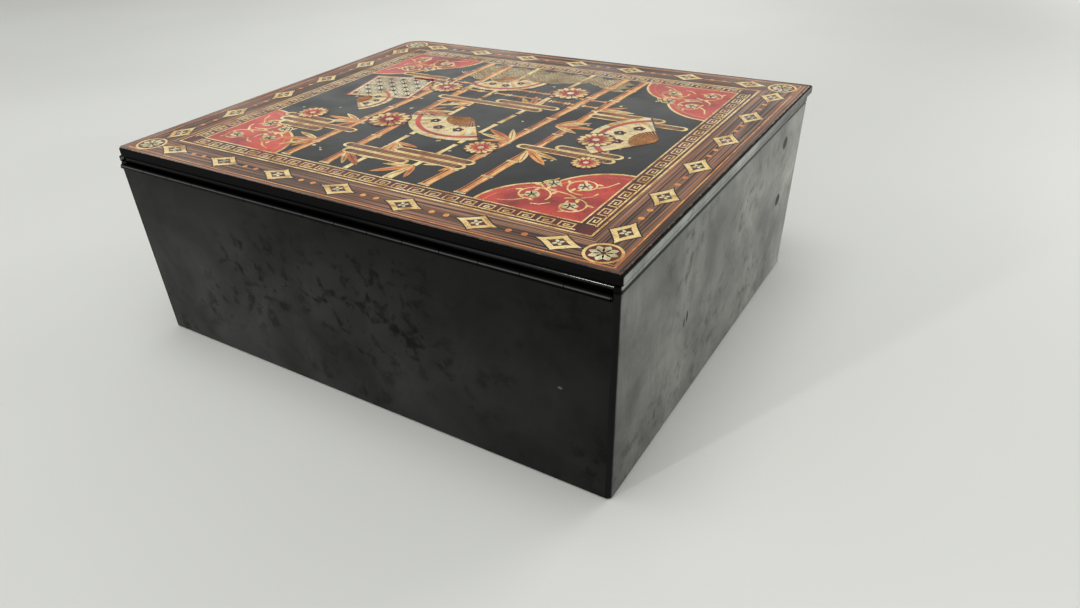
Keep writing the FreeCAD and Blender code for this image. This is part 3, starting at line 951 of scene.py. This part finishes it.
def in_corner(k, points):
    """Places points drawn from a corner towards the middle of the field."""
    x, y = frame_corners(field)[k]
    sx, sy = CORNERS[k]
    return [(x - sx * px, y - sy * py) for px, py in points]


hubs = [(12.5, 26.5), (26.5, 12.5), (9.5, 9.5), (24.0, 24.0)]
curls = [(250, 1.5, 7.4), (200, 1.5, 7.4, -1), (45, 1.4, 7.0), (230, 1.2, 5.4)]
stems = [spiral(*place, *curl) for place, curl in zip(hubs, curls)]
tendrils = [[(10 + 2 * i, 16 + 1.1 * i - 0.12 * i * i) for i in range(7)], [(3, 35), (5, 30), (8, 27)],
            [(35, 3), (30, 5), (27, 8)], [(17, 9), (20, 6), (23, 5.5)], [(9, 17), (6, 20), (5.5, 23)]]
inlay("spandrels", [in_corner(k, [(0, 0)] + ogee(43)) for k in range(4)], 2, vermilion)
ribbons("spandrel_edges", [in_corner(k, ogee(43)) for k in range(4)], 5, 1.1, ivory)
ribbons("spandrel_lines", [in_corner(k, ogee(39.5)) for k in range(4)], 4, 0.45, orange)
ribbons("scroll_stems", [in_corner(k, s) for k in range(4) for s in stems + tendrils], 5, 0.75, ivory)

# %% [markdown]
# Small leaves lean off each stem by turns to the left and to the right and get smaller towards its tip, and a
# five-petalled flower closes it.

# %% Leaves and blooms of the stems
leaf_spots, bloom_spots = [], []
for k in range(4):
    for s in stems:
        path = in_corner(k, s)
        for i in range(2, 20, 3):
            (ax, ay), (bx, by) = path[i], path[i + 1]
            lean = 55 if i % 2 else -55
            leaf_spots.append((ax, ay, math.degrees(math.atan2(by - ay, bx - ax)) + lean, 1.0 - i * 0.02))
    bloom_spots += [(x, y, 17 * k, 1) for x, y in in_corner(k, hubs)]
scatter("scroll_leaves", cut_stamp("scroll_leaf", petal(0.2, 3.8, 1.5)), leaf_spots, 6, ivory, turn=8, seed=4)
five = wheel("five_petals", petal(0.4, 3.0, 2.7, 0.35), 5)
scatter("scroll_blooms", five, bloom_spots, 8, cream)
eye = cut_stamp("eye", round_outline(0.7, 12))
scatter("bloom_eyes", eye, bloom_spots, 9, maroon)

# %% [markdown]
# The garden fills the black field. A bank of waves and a low fence are drawn first, so that everything else
# passes over them. A wave is a fish scale: four arcs about one centre, of which only the part shows that the
# scales in front leave free.

# %% Waves
SCALE_R = 5.6
BANK_ROWS = 14
BANK_HEIGHT = 19
BANK_SWELL = 7
CORNER_CLEAR = 50


def wave_arc(share):
    """The part of a ring that the scales in front of it leave in sight."""
    fronts = [(SCALE_R, -SCALE_R / 2), (-SCALE_R, -SCALE_R / 2), (0, -SCALE_R)]
    ring = [around(SCALE_R * share, a) for a in steps(0, math.pi, 60)]
    return [p for p in ring if all(math.dist(p, front) >= SCALE_R * 0.985 for front in fronts)][::2]


arcs = [arc for arc in (wave_arc(s) for s in (0.97, 0.74, 0.5, 0.26)) if len(arc) > 1]
foot = SHEET_MID_Y - field[1]
bank = []
for k in range(BANK_ROWS):
    for i in range(-9, 10):
        x = SCALE_R * 2 * i + (SCALE_R if k % 2 else 0)
        y = foot + 1.2 + k * SCALE_R / 2
        edge_gap = field[0] - abs(x)
        under_crest = y < foot + BANK_HEIGHT + BANK_SWELL * math.sin(x / 15)
        if under_crest and edge_gap > SCALE_R and math.hypot(edge_gap, y - foot) > CORNER_CLEAR:
            bank.append((x, y, 0, 1))
scatter("wave_bank", stamp_of("wave", ribbon_mesh("wave", arcs, 0, 0.5, cream)), bank, 2, ivory)
print("wave scales", len(bank))

# %% [markdown]
# The fence is two bamboo rails on a row of posts, with a knot of cord drawn as a small four-petalled sign at
# every crossing.

# %% Garden fence
FENCE_Y = SHEET_MID_Y - 40
RAIL_YS = (FENCE_Y, FENCE_Y + 9)
POST_XS = range(-44, 45, 8)
ribbons("fence_rails", [[(-end, y), (end, y)] for end, y in zip((46, 50), RAIL_YS)], 3, 1.5, orange)
ribbons("fence_posts", [[(x, FENCE_Y - 6), (x, FENCE_Y + 15)] for x in POST_XS], 4, 1.2, umber)
scatter("fence_ties", four, [(x, y, 45, 0.62) for x in POST_XS for y in RAIL_YS], 5, ivory)

# %% [markdown]
# A bamboo cane is one joint, slightly waisted, repeated along a slanting line with a dark gap between joints,
# then a thin lit stripe, a thin shaded one and a ring at each node. A cane is eight joints long, and the
# rings lie half a joint off their middles, so their line is a sixteenth longer at each end.

# %% Bamboo canes
CANE_STEP = 17.0
THIN_STEP = 13.0
CANE_FOOT, CANE_TOP = -69.2, 66.8


def joint(length, width, waist, off=0.0):
    """Outline of one cane joint along x, thinner in the middle than at its nodes and moved off the path."""
    edge = [(t * length / 2, width / 2 - waist * (1 - t * t)) for t in steps(-1, 1, 8)]
    return [(x, y + off) for x, y in edge + [(x, -y) for x, y in reversed(edge)]]


canes = [[(a, CANE_FOOT), (b, CANE_TOP)] for a, b in ((-47, -43), (-36, -27), (31, 24), (43, 45))]
thin_canes = [[(-18, -72), (-11, 70)], [(14, -72), (12, 70)]]
node_lines = [[between(a, b, -1 / 16), between(a, b, 17 / 16)] for a, b in canes]
rows("cane_joints", cut_stamp("joint", joint(16.2, 4.6, 0.35)), canes, 5, CANE_STEP, orange)
rows("cane_lights", cut_stamp("light", joint(14.6, 0.9, 0.1, 0.95)), canes, 6, CANE_STEP, ivory)
rows("cane_shades", cut_stamp("shade", joint(15.0, 0.8, 0.1, -1.25)), canes, 6, CANE_STEP, umber)
rows("thin_cane_joints", cut_stamp("thin", joint(12.3, 2.4, 0.2)), thin_canes, 5, THIN_STEP, ivory)
rows("cane_nodes", cut_stamp("node", joint(1.0, 5.2, 0.0)), node_lines, 7, CANE_STEP, cream)

# %% [markdown]
# Leaves hang in tufts of four, spread like fingers. Two inks take turns on them, so that a tuft has depth,
# and each leaf gets a fine rib in a darker ink with the same seed, which turns it by the same stray angle.

# %% Bamboo leaves
tufts = [(-43, 28, 150), (-28, 51, 20), (-38, -2, 200), (24, 61, 160), (45, 30, 10), (28, 6, 190),
         (44, -22, 330), (-12, 62, 60), (12, 44, 130), (-16, -18, 300), (-46, -30, 170), (13, -14, 20),
         (-31, 22, 340), (46, 56, 30)]
fronds = [(-40, 0.85), (-14, 1.1), (14, 1.0), (44, 0.75)]
blades = [(x, y, h + d, s) for x, y, h in tufts for d, s in fronds]
blade = cut_stamp("blade", petal(1.0, 16.5, 3.3))
rib = cut_stamp("rib", petal(2.0, 15.0, 0.4))
scatter("bamboo_leaves_light", blade, blades[0::2], 8, ivory, turn=6, seed=2)
scatter("bamboo_leaves_deep", blade, blades[1::2], 9, orange, turn=6, seed=3)
scatter("leaf_ribs_light", rib, blades[0::2], 10, umber, turn=6, seed=2)
scatter("leaf_ribs_deep", rib, blades[1::2], 10, maroon, turn=6, seed=3)
print("leaves", len(blades))

# %% [markdown]
# Bands of mist cut across the canes, as they do on folding screens, so that the garden comes and goes. Each
# is a stack of bars with round ends, pale ones with smaller brown ones on them, and two fine lines on those.

# %% Mist
MIST_PITCH = 5.2


def bar(cx, cy, length, height):
    half, r = length / 2 - height / 2, height / 2
    turns = [math.pi * (t - 0.5) for t in steps(0, 1, 8)]
    return [around(way * r, a, (cx + way * half, cy)) for way in (1, -1) for a in turns]


mists = [(-4, 50, [(-8, 40), (4, 62), (14, 34)]), (-60, 20, [(-6, 30), (2, 44)]),
         (64, 36, [(6, 30), (-4, 46), (2, 26)]), (0, -22, [(-12, 34), (6, 58)]),
         (-66, -26, [(4, 34), (-2, 46)]), (70, -42, [(-8, 30), (-14, 24)])]
slabs = [(cx + dx, cy + MIST_PITCH * i, length)
         for cx, cy, stack in mists for i, (dx, length) in enumerate(stack)]
inlay("mist_edges", [bar(x, y, length, 5.0) for x, y, length in slabs], 11, ivory)
inlay("mist", [bar(x, y, length - 3, 3.2) for x, y, length in slabs], 12, umber)
fine = [[(x - length / 2 + 4, y + off), (x + length / 2 - 4, y + off)]
        for x, y, length in slabs for off in (-0.7, 0.7)]
ribbons("mist_lines", fine, 13, 0.3, orange)

# %% [markdown]
# A folding fan is sixteen folds of paper on sixteen sticks. Every other fold is in a second ink, which reads
# as the pleats' light and shade, and a guard ends it on either side. The ring tree makes each of these from
# one slice.

# %% Fans
FAN_R = 30.0
STICK_R = 12.5
FOLD = 7
FAN_OPEN = 16 * FOLD
FIRST_FOLD = FOLD / 2 - FAN_OPEN / 2


def slice_of(r0, r1, middle, width):
    arc = steps(math.radians(middle - width / 2), math.radians(middle + width / 2), 3)
    return [around(r1, a) for a in arc] + [around(r0, a) for a in arc[::-1]]


fans = [(-86, -3, -4, 1.0), (0, 4, 72, 0.98), (20, -58, 118, 0.8), (70, 4, 190, 0.62)]
folds_a = wheel("folds_a", slice_of(STICK_R, FAN_R, FIRST_FOLD, FOLD), 8, FAN_OPEN)
folds_b = wheel("folds_b", slice_of(STICK_R, FAN_R, FIRST_FOLD + FOLD, FOLD), 8, FAN_OPEN)
ribs = wheel("ribs", slice_of(1.5, STICK_R, FIRST_FOLD, 3.0), 16, FAN_OPEN)
stripe = wheel("stripe", slice_of(24.5, 26.8, FIRST_FOLD, FOLD), 16, FAN_OPEN)
guard = wheel("guard", slice_of(1.5, FAN_R + 0.4, -FAN_OPEN / 2 - 0.5, 2.0), 2, 2 * (FAN_OPEN + 1))
scatter("fan_folds_light", folds_a, fans, 14, cream)
scatter("fan_folds_shaded", folds_b, fans, 14, ivory)
scatter("fan_ribs", ribs, fans, 14, orange)
scatter("fan_stripes", stripe, fans, 15, vermilion)
scatter("fan_guards", guard, fans, 15, umber)
fan_blooms = [(*around(s * r, math.radians(h + d), (x, y)), h, 0.95 * s)
              for x, y, h, s in fans for d, r in ((-34, 17.5), (-4, 19.0), (28, 17.0))]
scatter("fan_flowers", five, fan_blooms, 15, maroon)
scatter("fan_flower_eyes", eye, fan_blooms, 16, cream)

# %% [markdown]
# The round flowers are crests: a ring of fourteen petals, a smaller ring of eleven and a heart, on a dark
# disc that lifts them off the garden.

# %% Round flowers
rounds = [(-22, -46, 8, 0.92), (-62, 6, 20, 0.8), (34, 22, 5, 1.0), (-24, 34, 12, 0.72), (40, -30, 0, 0.85),
          (74, 30, 18, 0.75), (-70, 30, 3, 0.6)]
scatter("round_flower_grounds", cut_stamp("ground_disc", round_outline(10.2, 48)), rounds, 17, maroon)
outer_petals = wheel("outer_petals", petal(3.6, 9.7, 3.5, 0.25), 14)
scatter("round_flower_outer_petals", outer_petals, rounds, 18, ivory)
inner_petals = wheel("inner_petals", petal(1.6, 6.4, 2.5, 0.2), 11)
scatter("round_flower_inner_petals", inner_petals, rounds, 19, vermilion)
scatter("round_flower_hearts", cut_stamp("heart", round_outline(1.9, 20)), rounds, 20, cream)

# %% [markdown]
# One square of patterned paper lies askew among them. Its hemp-leaf pattern is a net of triangles with three
# strokes from each centre to the corners, and each stroke is cut off where it would leave the square.

# %% Square paper with a hemp-leaf pattern
PAPER_MID = (66, -19)
PAPER_TURN = math.radians(13)
PAPER_HALF = 17.0
PAPER_MARGIN = 1.6
NET_EDGE = 7.2
NET_ROW = 0.8660254  # the height of a triangle whose edge is 1


def clipped(a, b, half):
    """The part of a segment inside a square, or None."""
    t0, t1 = 0.0, 1.0
    for i in (0, 1):
        d = b[i] - a[i]
        for way in (-1, 1):
            room = half - way * a[i]
            if abs(d) < 1e-9:
                if room < 0:
                    return None
            elif way * d > 0:
                t1 = min(t1, room / (way * d))
            else:
                t0 = max(t0, room / (way * d))
    return [between(a, b, t0), between(a, b, t1)] if t1 - t0 >= 0.02 else None


def on_paper(points):
    """Turns points and moves them to where the paper lies."""
    c, s = math.cos(PAPER_TURN), math.sin(PAPER_TURN)
    return [(PAPER_MID[0] + x * c - y * s, PAPER_MID[1] + x * s + y * c) for x, y in points]


hemp = []
for i in range(-6, 7):
    for j in range(-6, 7):
        p = [(NET_EDGE * (i + u + (j + v) / 2), NET_EDGE * (j + v) * NET_ROW)
             for u, v in ((0, 0), (1, 0), (0, 1), (1, 1))]
        for tri in ((p[0], p[1], p[2]), (p[3], p[2], p[1])):
            mid = (sum(q[0] for q in tri) / 3, sum(q[1] for q in tri) / 3)
            strokes = [(tri[0], tri[1]), (tri[1], tri[2]), (tri[2], tri[0])] if tri[0] is p[0] else []
            strokes += [(mid, q) for q in tri]
            hemp += [c for c in (clipped(a, b, PAPER_HALF - PAPER_MARGIN) for a, b in strokes) if c]
square = on_paper([(x * PAPER_HALF, y * PAPER_HALF) for x, y in CORNERS])
inlay("square_paper", [square], 12, cream)
ribbons("square_paper_edge", [square], 14, 1.1, vermilion, closed=True)
ribbons("hemp_leaf_lines", [on_paper(line) for line in hemp], 13, 0.42, maroon)
print("hemp-leaf strokes", len(hemp))

# %% [markdown]
# Sixty fallen petals are strewn on the black ground, under everything else. Chance places them, from a fixed
# seed, so that each run strews them alike. After that the stamps have done their work and are deleted.

# %% Fallen petals
chance = random.Random(11)
limits = ((-88, 88), (-60, 70), (0, 360), (0.45, 0.85))  # x, y, heading and size
fallen = [tuple(chance.uniform(low, high) for low, high in limits) for i in range(60)]
scatter("fallen_petals", cut_stamp("one_petal", petal(-1.6, 1.6, 2.0, 0.4)), fallen, 1, cream,
        turn=180, vary=0.2, seed=5)
for tool in stamps:
    bpy.data.objects.remove(tool)
print("the lid's design is laid")
